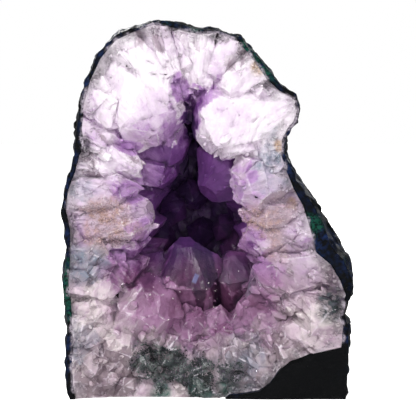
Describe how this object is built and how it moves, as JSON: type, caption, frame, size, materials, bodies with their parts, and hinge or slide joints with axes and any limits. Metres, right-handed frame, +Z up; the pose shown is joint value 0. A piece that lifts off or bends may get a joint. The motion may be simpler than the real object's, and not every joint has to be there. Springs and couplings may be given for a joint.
{
  "type": "amethyst geode",
  "caption": "Tall amethyst geode, sawn open at the front and flat at the foot: a thin dark basalt rind lined with a thick crust of milky to purple crystals round a deep hollow.",
  "frame": {"origin": "middle of the flat sawn foot, under the middle of the box round the geode", "axes": "+Z up, the open front faces -Y, +X to the right seen from the front"},
  "size_m": [0.1388, 0.0938, 0.1789],
  "materials": {
    "basalt": "rough dark basalt, green in spots, honed on the sawn front of the foot",
    "amethyst": "glassy crystal, milky at the rind and purple at the points"
  },
  "bodies": {
    "root": {"rind": "basalt", "crystal_crust": "amethyst"}
  },
  "joints": []
}
